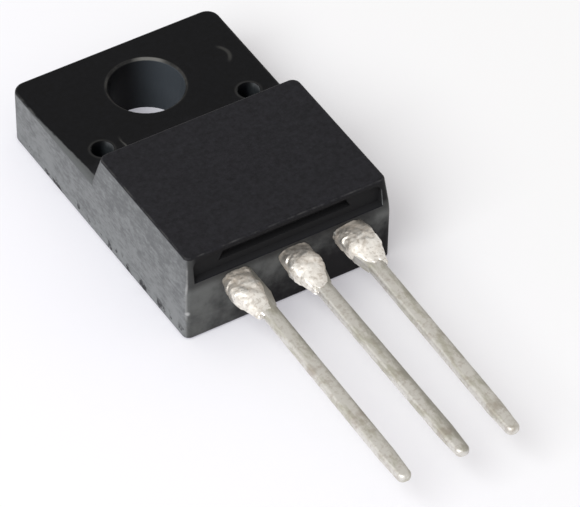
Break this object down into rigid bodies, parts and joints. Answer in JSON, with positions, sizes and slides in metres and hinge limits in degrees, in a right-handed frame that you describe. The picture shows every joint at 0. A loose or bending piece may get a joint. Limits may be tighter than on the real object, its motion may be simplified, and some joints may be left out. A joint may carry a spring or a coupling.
{
  "type": "igbt transistor",
  "caption": "Fully moulded flat-tab power transistor with a screw hole and a row of straight tinned leads carrying leftover solder.",
  "frame": {"origin": "the screw hole's axis where it meets the flat back face that lies on a heat sink", "axes": "+Z from the back face to the front face along the screw hole, +Y from the leads to the tab end, the leads point to -Y"},
  "size_m": [0.0102, 0.0287, 0.0045],
  "materials": {
    "moulding": "satin",
    "tinned_copper": "satin",
    "solder": "polished",
    "silicon": "gloss",
    "die_solder": "satin",
    "bond_wire": "satin"
  },
  "bodies": {
    "root": {"moulded_body": "moulding", "collector_frame": "tinned_copper", "gate_lead": "tinned_copper", "emitter_lead": "tinned_copper", "gate_lead_solder": "solder", "collector_lead_solder": "solder", "emitter_lead_solder": "solder", "igbt_chip": "silicon", "chip_solder": "die_solder", "gate_wire": "bond_wire", "emitter_wire_inner": "bond_wire", "emitter_wire_outer": "bond_wire"}
  },
  "joints": []
}
